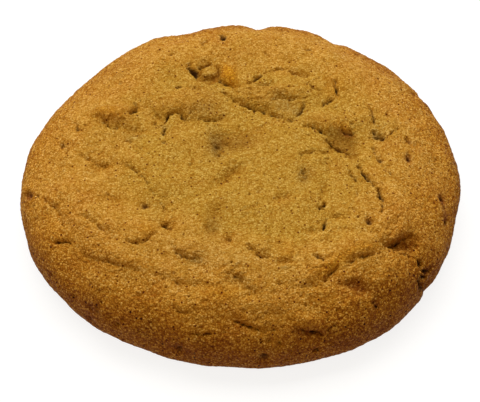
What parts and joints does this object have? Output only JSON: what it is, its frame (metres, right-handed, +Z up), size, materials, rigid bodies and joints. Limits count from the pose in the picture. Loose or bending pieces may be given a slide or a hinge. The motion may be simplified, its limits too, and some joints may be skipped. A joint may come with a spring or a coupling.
{
  "type": "pumpkin cookie",
  "caption": "Thick round soft-baked cookie with a wrinkled, cracked, golden-brown top and a flat base.",
  "frame": {"origin": "middle of the flat base, on the surface the cookie lies on", "axes": "+Z up through the top; -Y is the side that faces the camera of the picture, +X to its right"},
  "size_m": [0.09, 0.0903, 0.0188],
  "materials": {
    "baked_dough": "dry sandy crust, golden tan on the top and browner on the side"
  },
  "bodies": {
    "root": {"cookie": "baked_dough"}
  },
  "joints": []
}
